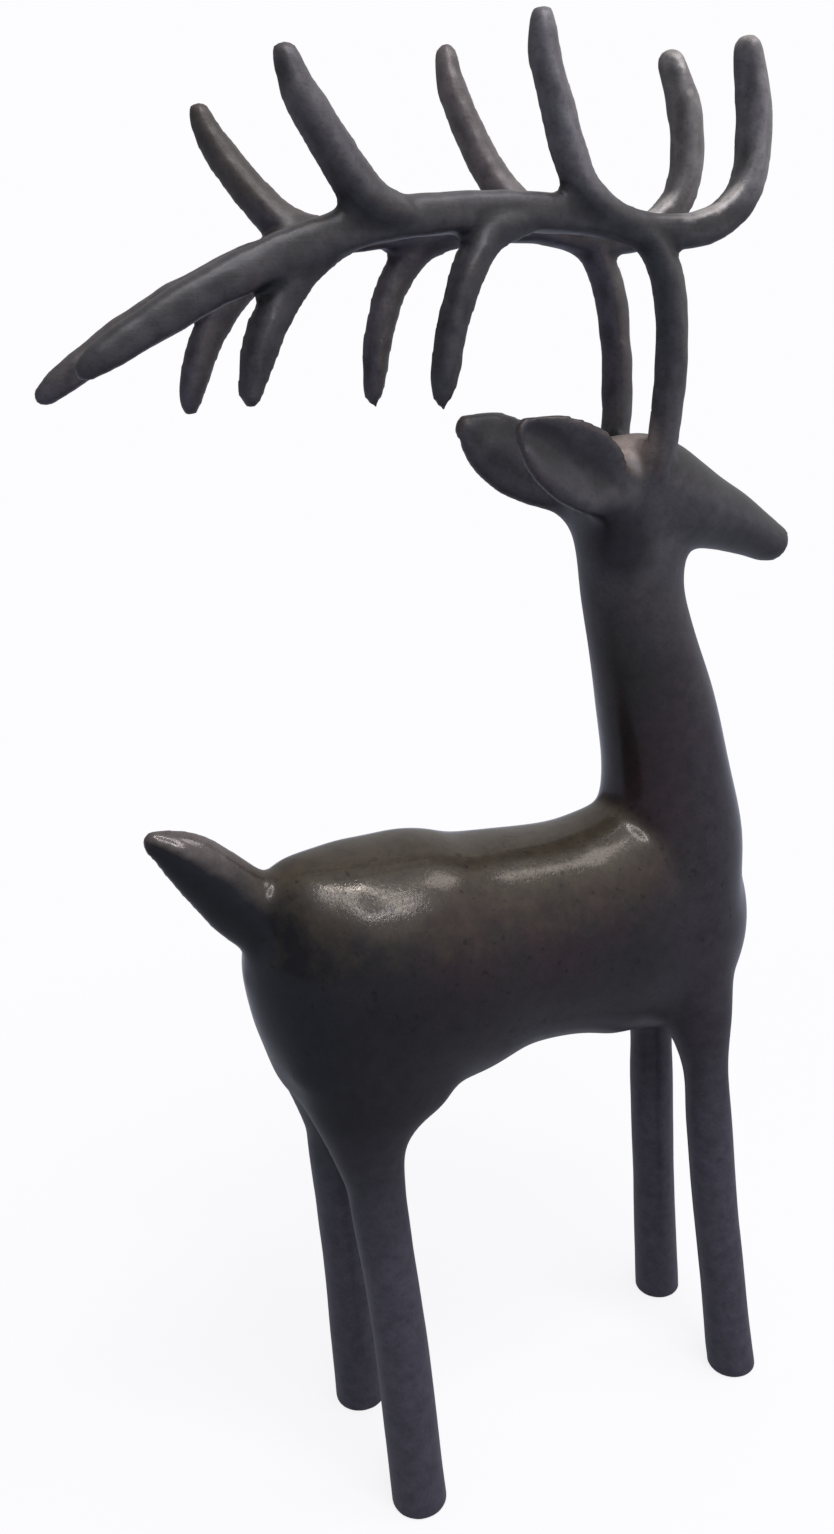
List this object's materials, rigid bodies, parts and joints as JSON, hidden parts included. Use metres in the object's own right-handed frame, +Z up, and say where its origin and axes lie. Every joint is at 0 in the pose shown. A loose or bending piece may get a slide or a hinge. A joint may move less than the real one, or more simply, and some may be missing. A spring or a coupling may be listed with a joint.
{
  "type": "bronze reindeer statue",
  "caption": "Standing reindeer cast in dark bronze, with straight legs, a tall neck, a pointed tail, leaf-shaped ears and long antlers swept back over the body.",
  "frame": {"origin": "on the ground, under the middle of the overall outline; the middle of the four feet is 22.5 mm ahead of it", "axes": "+X from tail to nose, +Y to the animal's left, +Z up"},
  "size_m": [0.2541, 0.0883, 0.5027],
  "materials": {
    "bronze": "cast bronze with a dark brown patina, waxed to a satin gloss"
  },
  "bodies": {
    "root": {"reindeer": "bronze"}
  },
  "joints": []
}
